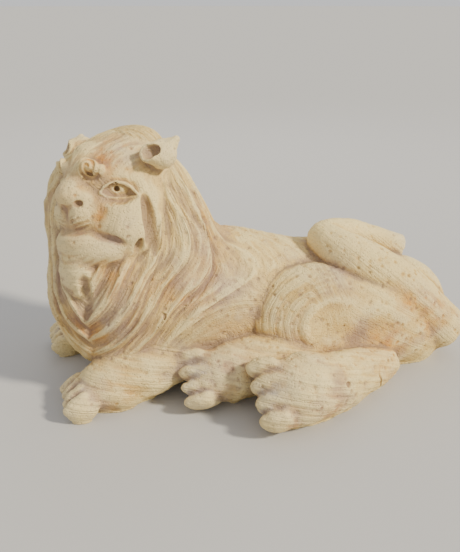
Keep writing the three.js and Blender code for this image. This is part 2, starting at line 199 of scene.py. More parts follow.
LOOP = 34               # radius of the ridge round the swirl's middle
LOOP_WIDTH = 5
LOOP_HEIGHT = 2.2
LOOP_AHEAD = (30, -5)
LOOP_ABOVE = (-30, -5)
DIMPLE = 1.2
DIMPLE_REACH = (28, 10)
CRACK = (
    (-97, -74, 116, 0.6), (-92, -76, 111, 1.3), (-96, -77, 106, 1.3),
    (-90, -80, 101, 1.2), (-91, -81, 95, 0.5),
)
HEEL_CRACK = ((131, -138, 43, 0.8), (128, -146, 31, 1.5), (131, -142, 18, 1.4), (134, -134, 4, 1))
MUZZLE_MIDDLE = (76, 12, -20)
BROW = (20, 0, 50)
BROW_LINES = ((26, 46), (-20, 12))      # where they start and are full, in height and forward
BROW_SLOPE = 0.3
BROW_WAVE = (5, 13)
BROW_PITCH = 7.5
BROW_DEPTH = 0.6
PEG_HOLE = (78, -172, 44, 3.2)
PRESSED = 0.6           # depth of the clay's unevenness, and what the feet have besides
FEET_PRESSED = 0.9
FEET = (90, 30)
FINE_PRESSED = 0.12
TOE_CREASE = 4
NAIL_CREASE = 1.5
NAIL = (6, 0.34, 0.42)      # its reach in mm, and its half width and height as shares of the toe's
NAIL_AHEAD = 13
NAIL_RISE = 0.1             # above the toe's middle, as a share of its height
KNUCKLE = (8, 0.42, 0.50)
KNUCKLE_BACK = 3
KNUCKLE_RISE = 0.62


# Distance field pieces
def ease(span, v):
    t = np.clip((v - span[0]) / (span[1] - span[0]), 0, 1)
    return t * t * (3 - 2 * t)


def join(a, b, soft):
    overlap = np.maximum(soft - np.abs(a - b), 0) / soft
    return np.minimum(a, b) - overlap * overlap * soft / 4


def carve(a, b, soft):
    return -join(-a, b, soft)


def egg(p, mass):
    radii = np.array(mass[1], np.float32)
    q = (p - np.array(mass[0], np.float32)) / radii
    near = np.sqrt((q * q).sum(1))
    q /= radii
    return near * (near - 1) / (np.sqrt((q * q).sum(1)) + 1e-9)


def bone(p, start, end):
    a = np.array(start[:3], np.float32)
    line = np.array(end[:3], np.float32) - a
    q = p - a
    t = np.clip(q @ line / (line @ line), 0, 1)
    q -= t[:, None] * line
    return np.sqrt((q * q).sum(1)) - (start[3] + (end[3] - start[3]) * t)


def strand(p, points):
    near = bone(p, points[0], points[1])
    for i in range(2, len(points)):
        near = np.minimum(near, bone(p, points[i - 1], points[i]))
    return near


def unit(v):
    v = np.array(v, float)
    return v / np.sqrt(v @ v)


def smoothed(points, steps):
    """The strand's corners rounded into a smooth curve (centripetal, as the solid's)."""
    at = np.array([v[:3] for v in points], float)
    radius = np.array([v[3] for v in points], float)
    out = []
    for i in range(steps + 1):
        along = i / steps * (len(at) - 1)
        k = min(len(at) - 2, int(along))
        t = along - k
        p1, p2 = at[k], at[k + 1]
        p0 = at[k - 1] if k > 0 else p1 + (p1 - p2)
        p3 = at[k + 2] if k + 2 < len(at) else p2 + (p2 - p1)
        d0, d1, d2 = (max(np.linalg.norm(b - a) ** 0.5, 1e-4) for a, b in ((p0, p1), (p1, p2), (p2, p3)))
        m1 = ((p1 - p0) / d0 - (p2 - p0) / (d0 + d1) + (p2 - p1) / d1) * d1
        m2 = ((p2 - p1) / d1 - (p3 - p1) / (d1 + d2) + (p3 - p2) / d2) * d1
        c = p1 + m1 * t + (3 * (p2 - p1) - 2 * m1 - m2) * t * t + (2 * (p1 - p2) + m1 + m2) * t ** 3
        out.append((*c, radius[k] + (radius[k + 1] - radius[k]) * t))
    return out


def where_near(p, d, middle, reach, change):
    """Works a local feature into the field, only within its reach."""
    q = p - np.array(middle, np.float32)
    near = (q * q).sum(1) < reach * reach
    if near.any():
        d[near] = change(p[near], d[near])
    return d


# Head
HEAD_FORWARD = np.array([-math.cos(HEAD_TURN), -math.sin(HEAD_TURN), 0])
LEVEL_LEFT = np.array([math.sin(HEAD_TURN), -math.cos(HEAD_TURN), 0])
HEAD_LEFT = LEVEL_LEFT * math.cos(HEAD_TILT) + np.array([0, 0, math.sin(HEAD_TILT)])
HEAD_UP = np.array([0, 0, math.cos(HEAD_TILT)]) - LEVEL_LEFT * math.sin(HEAD_TILT)
HEAD_AXES = np.array([HEAD_FORWARD, HEAD_LEFT, HEAD_UP], np.float32)


def head_place(p):
    return (p - NECK.astype(np.float32)) @ HEAD_AXES.T


def mirrored(h):
    return np.stack([h[:, 0], np.abs(h[:, 1]), h[:, 2]], 1)


def eye_place(side):
    """The eye's own frame: towards the outer corner, out of the face, up."""
    q = side - EYE
    c, n = math.cos(EYE_TURN), math.sin(EYE_TURN)
    return np.stack([c * q[:, 1] - n * q[:, 0], c * q[:, 0] + n * q[:, 1], q[:, 2]], 1)


def face(h):
    side = mirrored(h)
    d = join(egg(h, SKULL), egg(side, CHEEK), FUR_BLEND)
    d = join(d, strand(h, NOSE_BRIDGE), FLESH_BLEND)
    d = join(d, egg(h, MUZZLE), FLESH_BLEND)
    d = join(d, egg(h, NOSE_TIP), FACE_BLEND)
    d = join(d, egg(side, NOSE_WING), FACE_BLEND)
    d = join(d, egg(side, LIP_PAD), FLESH_BLEND)
    d = join(d, join(egg(h, CHIN), egg(h, LOWER_LIP), FLESH_BLEND), FACE_BLEND)
    d = join(d, egg(h, BEARD), FACE_BLEND)
    d = carve(d, strand(side, MOUTH), CREASE)
    d = join(d, strand(side, BROW_CURL), FACE_BLEND)
    eye = eye_place(side)
    d = carve(d, egg(eye, EYE_SOCKET), FACE_BLEND)
    return join(d, egg(eye, EYEBALL), CREASE)


def ears(h):
    side = mirrored(h)
    side[:, 2] -= RIGHT_EAR_LIFT * (h[:, 1] < 0)
    return carve(strand(side, EAR_CUP), strand(side, EAR_BOWL), CREASE)


# Mane
def lock_lane(p):
    """Where a point lies across the locks, in mm, and how far it is from the middle of the mane."""
    ahead = MANE_MIDDLE[0] - p[:, 0]
    left = MANE_MIDDLE[1] - p[:, 1]
    turn = np.arctan2(left, ahead) - V_TURN
    around = MANE_GIRTH * np.abs(np.arctan2(np.sin(turn), np.cos(turn)))
    fall = V_TOP - p[:, 2] + V_SLOPE * around
    wave = LOCK_WAVE[0] * np.sin(p[:, 2] / LOCK_WAVE[1] + around / LOCK_WAVE[2])
    lane = (around + fall + np.hypot(around - fall, LOCK_BEND)) / 2 + wave - LOCK_FIRST
    return lane, np.hypot(ahead, left)


def lock_share(p, lane, out):
    narrow = np.minimum(1, out / LOCK_REACH)
    return narrow * ease(LOCK_START, p[:, 2]) * ease(LOCK_END, p[:, 2]) * ease(MANE_EDGE, lane)


def flutes(p):
    lane, out = lock_lane(p)
    gouge = np.sqrt(np.cos(math.pi * lane / LOCK_PITCH) ** 2 + RIDGE) - LOCK_RISE
    return gouge * lock_share(p, lane, out)


def gouges(p, h):
    beside_cheek = np.minimum(egg(h, LEAF_GOUGE), egg(h, SLIT_GOUGE))
    return np.minimum(beside_cheek, egg(p, BEARD_GOUGE))


def foreparts(p, h):
    d = join(egg(h, RUFF), egg(p, CHEST), FUR_BLEND)
    d = join(d, egg(p, RIGHT_RUFF), FUR_BLEND)
    d = join(d, egg(p, WITHERS), FUR_BLEND)
    d = join(d, egg(h, TOPKNOT), FUR_BLEND)
    d = join(d, strand(p, SPINE), FUR_BLEND)
    d = join(d, strand(p, BELLY), FUR_BLEND)
    return d + LOCK_DEPTH * flutes(p) + fine_locks(p) + drag_marks(p)


def haunches(p):
    thigh = join(egg(p, LEFT_THIGH), egg(p, LEFT_KNEE), FUR_BLEND)
    left = carve(join(thigh, egg(p, LEFT_RUMP), FUR_BLEND), egg(p, FLANK_HOLLOW), FUR_BLEND)
    return np.minimum(swirl_carving(p, left), egg(p, RIGHT_THIGH))


TAIL_CURVE = smoothed(TAIL, TAIL_STEPS)
TAIL_END = np.array(TAIL_CURVE[-1][:3])
TAIL_OUT = unit(TAIL_END - np.array(TAIL_CURVE[-2][:3]))


def tail(p):
    far = TAIL_FRONT - p[:, 0]
    near = far < TAIL_NEAR
    q = p[near]
    root = strand(q, TAIL_CURVE[:TAIL_TURN + 1])
    beyond = (q - TAIL_END.astype(np.float32)) @ TAIL_OUT.astype(np.float32) + TAIL_TRIM
    far[near] = np.minimum(root, np.maximum(strand(q, TAIL_CURVE[TAIL_TURN:]), beyond))
    return far


def paw(p, foot):
    heel, toe, row = (np.array(foot[k], float) for k in ("heel", "toe", "row"))
    out = unit(toe - heel)
    axes = np.stack([out, row, np.cross(out, row)], axis=1).astype(np.float32)
    step = foot["width"] / (TOES - 1)
    ahead = TOE_REACH * foot["pad"]
    digit = foot["digit"]
    mass = ((ahead, 0, 0), (TOE_LENGTH, step * TOE_WIDTH, digit))
    nail = (
        (ahead + NAIL_AHEAD, 0, NAIL_RISE * digit),
        (NAIL[0], step * NAIL[1], digit * NAIL[2]),
    )
    joint = (
        (ahead - KNUCKLE_BACK, 0, KNUCKLE_RISE * digit),
        (KNUCKLE[0], step * KNUCKLE[1], digit * KNUCKLE[2]),
    )
    d = bone(p, (*heel, foot["pad"]), (*toe, foot["pad"] * PAD_TAPER))
    for i in range(TOES):
        knuckle = toe + row * (i * step - foot["width"] / 2)
        q = (p - knuckle.astype(np.float32)) @ axes
        d = join(d, egg(q, mass), TOE_CREASE)
        d = join(join(d, egg(q, nail), NAIL_CREASE), egg(q, joint), NAIL_CREASE)
    return d


def limb(p, bones, foot):
    return join(strand(p, bones), paw(p, foot), FLESH_BLEND)


def head(h):
    side = mirrored(h)
    d = face(h)
    for middle, reach, carving in (
        (EYE, EYE_REACH, eye_carving),
        (CURL, CURL_REACH, curl_carving),
        (MUZZLE_MIDDLE, MUZZLE_REACH, muzzle_carving),
        (BROW, BROW_REACH, brow_lines),
    ):
        d = where_near(side, d, middle, reach, carving)
    return d


def flaws(p, d):
    d = carve(d, np.minimum(strand(p, CRACK), strand(p, HEEL_CRACK)), SHARP)
    q = p - np.array(PEG_HOLE[:3], np.float32)
    return carve(d, np.sqrt((q * q).sum(1)) - PEG_HOLE[3], SHARP)


def lion(place):
    p = place.copy()
    p[:, 2] = np.maximum(p[:, 2], FOOT_HEIGHT)
    h = head_place(p)
    d = join(foreparts(p, h), head(h), FACE_BLEND)
    d = join(d, ears(h), FACE_BLEND)
    d = carve(d, gouges(p, h), CREASE)
    d = join(d, haunches(p), CREASE)
    d = join(d, limb(p, LEFT_ARM, LEFT_FOREPAW), FLESH_BLEND)
    d = join(d, limb(p, RIGHT_ARM, RIGHT_FOREPAW), FLESH_BLEND)
    d = join(d, limb(p, LEFT_SHANK, LEFT_HINDPAW), CREASE)
    d = join(d, limb(p, RIGHT_SHANK, RIGHT_HINDPAW), CREASE)
    d = join(d, tail(p), CREASE)
    return np.maximum(flaws(p, d + handled(p)), -place[:, 2])


# Fine carving
def ripple(value, pitch):
    """A row of wide grooves with narrow crests between them: about 0.5 in a groove, -0.3 on a crest."""
    return np.sqrt(np.cos(math.pi * value / pitch) ** 2 + CREST_ROUNDING) - CREST_RISE


def fading(p, mass):
    """1 inside an egg-shaped patch, fading to 0 at its rim."""
    q = (p - np.array(mass[0], np.float32)) / np.array(mass[1], np.float32)
    return ease((1, 1 - PATCH_EDGE), np.sqrt((q * q).sum(1)))


def lined(points, radius):
    return [(*v, radius) for v in points]


def eye_carving(h, d):
    e = eye_place(mirrored(h))
    lids = np.minimum(strand(e, lined(UPPER_LID, LID)), strand(e, lined(LOWER_LID, LID)))
    d = join(d, lids, LID_CREASE)
    d = carve(d, strand(e, lined(LID_FOLD, FOLD)), FOLD_CREASE)
    q = e - np.array((PUPIL[0][0], 0, PUPIL[0][2]), np.float32)
    away = np.sqrt(q[:, 0] ** 2 + q[:, 2] ** 2)
    ring = np.hypot(away - IRIS, q[:, 1]) - IRIS_LINE
    d = carve(d, np.where(q[:, 0] < IRIS_GAP, ring, FAR_OFF), SHARP)
    return carve(d, strand(e, PUPIL), SHARP)


def curl_carving(h, d):
    q = mirrored(h) - CURL
    out = unit(CURL_FACES)
    back = unit(np.cross((0, 0, 1.0), out))
    rise = np.cross(out, back)
    u, v, w = (q @ axis.astype(np.float32) for axis in (back, rise, out))
    round_it = np.hypot(u, v)
    share = ease(CURL_RIM, round_it) * ease(CURL_THICK, np.abs(w))
    spiral = round_it - CURL_PITCH * np.arctan2(v, u) / (2 * math.pi)
    return d + CURL_DEPTH * share * ripple(spiral, CURL_PITCH)


def muzzle_carving(h, d):
    side = mirrored(h)
    out, z = side[:, 1], side[:, 2]
    d = carve(d, egg(side, NOSTRIL), NOSTRIL_CREASE)
    d = carve(d, strand(h, PHILTRUM), PHILTRUM_CREASE)
    d = d + WHISKER_DEPTH * fading(side, WHISKERS) * ripple(z - WHISKER_SLOPE * out, WHISKER_PITCH)
    lines = z - CHIN_SLOPE * out + CHIN_WAVE[0] * np.sin(out / CHIN_WAVE[1])
    return d + CHIN_DEPTH * fading(side, CHIN_LINES) * ripple(lines, CHIN_PITCH)


def brow_lines(h, d):
    share = ease(BROW_LINES[0], h[:, 2]) * ease(BROW_LINES[1], h[:, 0])
    across = h[:, 1] + BROW_SLOPE * h[:, 0] + BROW_WAVE[0] * np.sin(h[:, 2] / BROW_WAVE[1])
    return d + BROW_DEPTH * share * ripple(across, BROW_PITCH)


def swirl_carving(p, d):
    x = p[:, 0] - SWIRL[0]
    z = p[:, 2] - SWIRL[1]
    round_it = np.hypot(x, SWIRL_RISE * z)
    share = ease(SWIRL_INNER, round_it) * ease(SWIRL_OUTER, round_it) * ease(SWIRL_AHEAD, x)
    wave = SWIRL_WAVE[0] * np.sin(p[:, 2] / SWIRL_WAVE[1] + round_it / SWIRL_WAVE[2])
    uneven = 1 - SWIRL_UNEVEN + SWIRL_UNEVEN * np.sin(round_it / 9.7 + z / 21)
    d = d + SWIRL_DEPTH * share * uneven * ripple(round_it + wave, SWIRL_PITCH)
    ridge = np.exp(-((round_it - LOOP) / LOOP_WIDTH) ** 2)
    loop = ridge * ease(LOOP_AHEAD, x) * ease(LOOP_ABOVE, z)
    return d - LOOP_HEIGHT * loop + DIMPLE * ease(DIMPLE_REACH, round_it)


def drag_marks(p):
    flank = ease(FLANK[0], p[:, 0]) * ease(FLANK[1], p[:, 0])
    across = p[:, 0] + FLANK_LEAN * p[:, 2] + FLANK_WAVE[0] * np.sin(p[:, 2] / FLANK_WAVE[1])
    return FLANK_DEPTH * flank * ripple(across, FLANK_PITCH)


def handled(p):
    """The slight unevenness of clay pressed by hand, in crossing waves, stronger on the feet."""
    x, y, z = p[:, 0], p[:, 1], p[:, 2]
    slow = np.sin(x / 9.3 + 1.3 * np.sin(y / 14)) * np.sin(y / 8.1 + z / 12) * np.sin(z / 7.7 + 0.4)
    quick = np.sin(x / 2.9 + y / 4.1) * np.sin(z / 2.6 + 1.7 * np.sin(x / 6)) * np.sin(y / 3.1)
    return (PRESSED + FEET_PRESSED * ease(FEET, z)) * slow + FINE_PRESSED * quick


def upper_mane(p):
    """1 over the upper mane, which has plain strands where it has no locks."""
    return ease(UPPER_MANE[0], p[:, 0]) * ease(UPPER_MANE[1], p[:, 2])


def fine_locks(p):
    lane, out = lock_lane(p)
    z = p[:, 2]
    wide = lane + 3 * np.sin(z / 17 + lane / 29) + 1.4 * np.sin(z / 7.3 + lane / 11)
    close = lane + 2 * np.sin(z / 11 - lane / 13)
    uneven = 1 - STRAND_UNEVEN + STRAND_UNEVEN * np.sin(z / 23 + lane / 9)
    strands = uneven * ripple(wide, STRAND_PITCH) + CLOSE_STRANDS * ripple(close, CLOSE_PITCH)
    plain = BACK_STRANDS * upper_mane(p) * ease(LOCK_START, z)
    return STRAND_DEPTH * np.maximum(lock_share(p, lane, out), plain) * strands


# The way the clay was drawn: a coordinate that runs across the drag marks, in mm
FACE_RINGS = (50, -8)       # their middle, forward and up
CROWN = (12, 38)            # over these heights the rings turn into lines back over the head
CROWN_SLOPE = 0.25
PAST_MANE = (85, 125)
HOCK_SLOPE = 0.55
SWIRL_BEHIND = (-25, 25)
SWIRL_DRAG = (30, 50)
LIMB_FLOW = (0.25, 0.3, 1.1)
TAIL_FLOW = (0.62, 0.78)
MANE_DRAG = (115, 80)
BACK_DRAG = 0.8
HEAD_DRAGGED = 0.45         # how deep the marks are on each part
BODY_DRAGGED = (0.25, 0.55)
HAUNCH_DRAGGED = (0.22, 0.5)
LIMBS_DRAGGED = 0.5
TAIL_DRAGGED = 0.3


def head_flow(h):
    side = mirrored(h)
    rings = np.sqrt((h[:, 0] - FACE_RINGS[0]) ** 2 + side[:, 1] ** 2 + (h[:, 2] - FACE_RINGS[1]) ** 2)
    back = side[:, 1] + CROWN_SLOPE * h[:, 0]
    over = ease(CROWN, h[:, 2])
    return rings + (back - rings) * over


def fore_flow(p):
    lane = lock_lane(p)[0]
    flank = p[:, 0] + FLANK_LEAN * p[:, 2]
    beyond = ease(PAST_MANE, lane) * (1 - upper_mane(p))
    return lane + (flank - lane) * beyond


def haunch_flow(p):
    """Rings round the swirl in front of it, lines down to the hock behind it, and how strongly they show."""
    x = p[:, 0] - SWIRL[0]
    rings = np.hypot(x, SWIRL_RISE * (p[:, 2] - SWIRL[1]))
    down = p[:, 2] + HOCK_SLOPE * p[:, 0]
    behind = ease(SWIRL_BEHIND, x)
    return rings + (down - rings) * behind, ease(SWIRL_DRAG, rings) * (1 - behind)


def drag_flow(p):
    """The flow and the depth share of the drag marks at points of the surface."""
    h = head_place(p)
    limbs = np.minimum(
        np.minimum(limb(p, LEFT_ARM, LEFT_FOREPAW), limb(p, RIGHT_ARM, RIGHT_FOREPAW)),
        np.minimum(limb(p, LEFT_SHANK, LEFT_HINDPAW), limb(p, RIGHT_SHANK, RIGHT_HINDPAW)),
    )
    near = np.stack([np.minimum(face(h), ears(h)), foreparts(p, h), haunches(p), limbs, tail(p)])
    part = np.argmin(near, 0)
    round_swirl, swirled = haunch_flow(p)
    x, y, z = p[:, 0], p[:, 1], p[:, 2]
    down_limbs = LIMB_FLOW[2] * z + LIMB_FLOW[0] * x + LIMB_FLOW[1] * y
    along_tail = TAIL_FLOW[0] * x + TAIL_FLOW[1] * z
    flows = np.stack([head_flow(h), fore_flow(p), round_swirl, down_limbs, along_tail])
    even = np.ones(len(p))
    in_mane = np.maximum(ease(MANE_DRAG, lock_lane(p)[0]), BACK_DRAG * upper_mane(p))
    depths = np.stack([
        HEAD_DRAGGED * even,
        BODY_DRAGGED[0] + BODY_DRAGGED[1] * in_mane,
        HAUNCH_DRAGGED[0] + HAUNCH_DRAGGED[1] * swirled,
        LIMBS_DRAGGED * even,
        TAIL_DRAGGED * even,
    ])
    return tuple(np.take_along_axis(v, part[None], 0)[0] for v in (flows, depths))


# Skin
CELL = 1.4           # grid step of the fine skin, mm
BLOCK = 8            # grid steps to a block; blocks that the surface misses aren't worked out
FIELD_LOW = np.array([-226.0, -206, -2.1])
FIELD_HIGH = np.array([290.0, 136, 300])
BLOCK_MARGIN = 1.45  # a block is worked out if its middle is within this many blocks of the surface
ROUGH_BATCHES = 40
BLOCKS_AT_ONCE = 300
POINTS_AT_ONCE = 60000
SLOPE_STEP = 0.3
LEAST_STEEP = 0.2
FURTHEST = 0.5 * CELL


def corner_grid(low, count, step):
    axes = [low[a] + np.arange(count[a]) * step for a in range(3)]
    return np.stack(np.meshgrid(*axes, indexing="ij"), -1).reshape(-1, 3).astype(np.float32)


def field_on_grid():
    """The field on a dense grid, worked out exactly only near the surface."""
    wide = CELL * BLOCK
    blocks = np.ceil((FIELD_HIGH - FIELD_LOW) / wide).astype(int)
    middles = corner_grid(FIELD_LOW + wide / 2, blocks, wide)
    rough = np.concatenate([lion(c) for c in np.array_split(middles, ROUGH_BATCHES)]).reshape(blocks)
    grid = np.repeat(np.repeat(np.repeat(rough, BLOCK, 0), BLOCK, 1), BLOCK, 2).astype(np.float32)
    close = np.argwhere(np.abs(rough) < wide * BLOCK_MARGIN)
    steps = np.stack(np.meshgrid(*[np.arange(BLOCK)] * 3, indexing="ij"), -1).reshape(-1, 3)
    for part in np.array_split(close, max(1, len(close) // BLOCKS_AT_ONCE)):
        index = (part[:, None, :] * BLOCK + steps[None]).reshape(-1, 3)
        value = lion((FIELD_LOW + index * CELL).astype(np.float32))
        grid[index[:, 0], index[:, 1], index[:, 2]] = value
    return grid


def skin(grid):
    """One vertex in each cell that the surface crosses, at the mean of its crossings; one quad an edge."""
    shape = np.array(grid.shape)
    stride = np.array([shape[1] * shape[2], shape[2], 1])
    inside = grid < 0
    cells, points, rings = [], [], []
    for axis in range(3):
        ahead = tuple(slice(1, None) if a == axis else slice(None) for a in range(3))
        behind = tuple(slice(None, -1) if a == axis else slice(None) for a in range(3))
        edge = np.argwhere(inside[behind] != inside[ahead])
        u, v = (axis + 1) % 3, (axis + 2) % 3
        edge = edge[(edge[:, u] > 0) & (edge[:, v] > 0)]
        here = edge @ stride
        a = grid.ravel()[here]
        b = grid.ravel()[here + stride[axis]]
        place = edge.astype(float)
        place[:, axis] += a / (a - b)
        ring = np.stack([here, here - stride[u], here - stride[u] - stride[v], here - stride[v]], 1)
        ring[a >= 0] = ring[a >= 0][:, ::-1]
        rings.append(ring)
        cells.append(ring.ravel())
        points.append(np.repeat(place, 4, 0))
    cells, points = np.concatenate(cells), np.concatenate(points)
    _, vertex = np.unique(cells, return_inverse=True)
    count = np.bincount(vertex)
    places = np.stack([np.bincount(vertex, points[:, a]) / count for a in range(3)], 1)
    return FIELD_LOW + places * CELL, vertex.reshape(-1, 4)


def settled(places):
    """Each vertex drawn onto the surface itself along the field's slope."""
    p = places.astype(np.float32)
    slope = np.zeros_like(p)
    value = np.zeros(len(p), np.float32)
    for part in np.array_split(np.arange(len(p)), max(1, len(p) // POINTS_AT_ONCE)):
        q = p[part]
        value[part] = lion(q)
        for a in range(3):
            nudge = np.zeros(3, np.float32)
            nudge[a] = SLOPE_STEP
            slope[part, a] = (lion(q + nudge) - value[part]) / SLOPE_STEP
    steep = (slope * slope).sum(1)
    move = np.clip(-value / np.maximum(steep, LEAST_STEEP), -FURTHEST, FURTHEST)
    p = p + slope * move[:, None]
    p[:, 2] = np.maximum(p[:, 2], 0)
    return p.astype(float)


# The fired figure
TRIANGLES = 190000
HOLLOW_ROUNDS = 12
HOLLOW_FULL = 1.2       # depth of a full groove, mm
PITS = (0.25, 0.6, 0.35)    # share of pits everywhere, and more behind and low down
PITS_BEHIND = (-110, 40)
PITS_LOW = (110, 30)

# Where the clay fired orange, where it is ashen, and where mauve is painted, partly painted shade on the
# shaded front of the face and chest, under the chest and belly and on the far side, and partly real mauve
# mottling: x, y, z and reach
ORANGE_SPOTS = (
    (-178, -48, 229, 20), (-174, -60, 185, 20), (-140, -77, 142, 18), (-130, -77, 153, 14),
    (-84, -73, 132, 18), (-67, -74, 114, 14), (151, -110, 51, 24), (135, -124, 46, 18),
    (213, -100, 72, 30), (192, -99, 87, 24), (-33, -102, 61, 22), (24, -160, 66, 20),
    (18, -187, 22, 16), (51, -185, 26, 18), (-147, -101, 23, 18), (-140, -62, 205, 20),
    (-135, -40, 264, 26), (-170, -64, 84, 26), (236, -40, 40, 40), (150, 84, 40, 40),
    (-60, 92, 120, 34), (6, 30, 150, 30),
)
ASHEN_SPOTS = (
    (-190, -75, 12, 30), (-196, 69, 12, 30), (-2, -160, 34, 34), (-64, -102, 30, 30), (224, -8, 118, 24),
)
EAR_TIP = (-4, 70, 48, 22)
MAUVE_AND_PAINTED_SHADE_SPOTS = (
    (-190, -10, 220, 50), (-196, -20, 150, 60), (-150, -88, 100, 46), (-118, -40, 268, 30),
    (-112, -78, 195, 24), (-140, -72, 180, 20), (-142, -54, 232, 16), (-30, -60, 110, 40),
    (100, -70, 120, 30), (-40, -110, 30, 40), (-130, 90, 150, 60), (60, 70, 90, 60),
)


def spotted(p, spots):
    """How much of any of the spots a point takes, from 0 to 1."""
    share = np.zeros(len(p))
    for x, y, z, reach in spots:
        away = p - np.array([x, y, z])
        share = np.maximum(share, np.exp(-(away * away).sum(1) / reach ** 2))
    return share


def pitted_share(p):
    """Coarse pits are thickest on tail, haunch and feet, and few on the face."""
    behind = ease(PITS_BEHIND, p[:, 0])
    low = ease(PITS_LOW, p[:, 2])
    return np.clip(PITS[0] + PITS[1] * behind + PITS[2] * low, 0, 1)


def mesh_object(name, places, faces):
    mesh = bpy.data.meshes.new(name)
    mesh.vertices.add(len(places))
    mesh.vertices.foreach_set("co", places.astype(np.float32).ravel())
    mesh.loops.add(faces.size)
    mesh.loops.foreach_set("vertex_index", faces.astype(np.int32).ravel())
    mesh.polygons.add(len(faces))
    mesh.polygons.foreach_set("loop_start", np.arange(0, faces.size, faces.shape[1], dtype=np.int32))
    mesh.polygons.foreach_set("use_smooth", np.ones(len(faces), bool))
    mesh.update(calc_edges=True)
    mesh.validate()
    made = bpy.data.objects.new(name, mesh)
    bpy.context.collection.objects.link(made)
    return made


def paint(mesh, name, values):
    layer = mesh.attributes.new(name, "FLOAT", "POINT")
    layer.data.foreach_set("value", values.astype(np.float32))


def mesh_places(mesh, what):
    flat = np.empty(len(mesh.vertices) * 3)
    mesh.vertices.foreach_get(what, flat)
    return flat.reshape(-1, 3)


def hollow_depth(mesh, rounds):
    """Depth of each point below the smoothed form, from which the colour paints shade into the grooves and a
    highlight onto the crests.
    """
    at = mesh_places(mesh, "co")
    normal = mesh_places(mesh, "normal")
    edge = np.empty(len(mesh.edges) * 2, np.int32)
    mesh.edges.foreach_get("vertices", edge)
    a, b = edge.reshape(-1, 2).T
    count = len(at)
    links = np.maximum(np.bincount(a, minlength=count) + np.bincount(b, minlength=count), 1)
    even = at.copy()
    for _ in range(rounds):
        even = np.stack([
            (np.bincount(a, even[b, k], count) + np.bincount(b, even[a, k], count)) / links for k in range(3)
        ], 1)
    return ((even - at) * normal).sum(1)


# Nodes
class Nodes:
    """Adds nodes to a tree, with values and links given by socket."""

    def __init__(self, tree):
        self.tree = tree

    def give(self, socket, value):
        if isinstance(value, bpy.types.NodeSocket):
            self.tree.links.new(value, socket)
        else:
            socket.default_value = value

    def add(self, kind, sockets=None, **settings):
        node = self.tree.nodes.new(kind)
        for key, value in settings.items():
            setattr(node, key, value)
        for key, value in (sockets or {}).items():
            self.give(node.inputs[key], value)
        return node

    def noise(self, place, scale, detail, roughness=0.55, distortion=0.0):
        return self.add("ShaderNodeTexNoise", {
            "Vector": place, "Scale": scale, "Detail": detail,
            "Roughness": roughness, "Distortion": distortion,
        }).outputs["Fac"]

    def span(self, value, low, high, to_low=0.0, to_high=1.0):
        return self.add("ShaderNodeMapRange", {
            "Value": value, "From Min": low, "From Max": high, "To Min": to_low, "To Max": to_high,
        }, clamp=True).outputs["Result"]

    def mixed(self, share, first, second):
        node = self.add("ShaderNodeMix", data_type="RGBA")
        for index, value in ((0, share), (6, first), (7, second)):
            self.give(node.inputs[index], value)
        return node.outputs[2]

    def sum(self, how, first, second):
        node = self.add("ShaderNodeMath", operation=how)
        self.give(node.inputs[0], first)
        self.give(node.inputs[1], second)
        return node.outputs[0]

    def drawn(self, place, slow, across):
        """A place for noise that changes slowly along the drag marks and quickly across them."""
        sideways = self.add("ShaderNodeCombineXYZ", {"X": across}).outputs["Vector"]
        return self.moved(self.scaled(place, slow), sideways)

    def scaled(self, vector, by):
        node = self.add("ShaderNodeVectorMath", {0: vector, "Scale": by}, operation="SCALE")
        return node.outputs["Vector"]

    def moved(self, vector, by):
        node = self.add("ShaderNodeVectorMath", {0: vector, 1: by}, operation="ADD")
        return node.outputs["Vector"]

    def named(self, name):
        node = self.add("GeometryNodeInputNamedAttribute", {"Name": name}, data_type="FLOAT")
        return node.outputs["Attribute"]

    def attribute(self, name):
        return self.add("ShaderNodeAttribute", attribute_name=name).outputs["Fac"]


# Clay. Noise scales are to the metre; a span gives the noise levels where a tint starts and is full.
CREAM = (0.66, 0.445, 0.14, 1)
PALE_CREAM = (0.83, 0.63, 0.26, 1)
ORANGE = (0.60, 0.26, 0.04, 1)
ASH = (0.60, 0.56, 0.50, 1)
# Mauve: painted shade where the mauve spots lie, and real mottling where the haze lies
MAUVE_AND_PAINTED_SHADE = (0.38, 0.28, 0.26, 1)
# Painted shade for grooves and the troughs of the drag lines
PAINTED_GROOVE_SHADE = (0.27, 0.175, 0.135, 1)
# Painted highlight for crests
PAINTED_CREST_HIGHLIGHT = (0.94, 0.79, 0.40, 1)
SPECK = (0.20, 0.12, 0.09, 1)
LINES_PER_METRE = 420
LINE_CHANGE = 22.0      # changes along a line, to the metre
MARK_CHANGE = 26.0
SHINE = 0.25
BUMP_STRENGTH = 0.6
BUMP_DEPTH = 0.0016


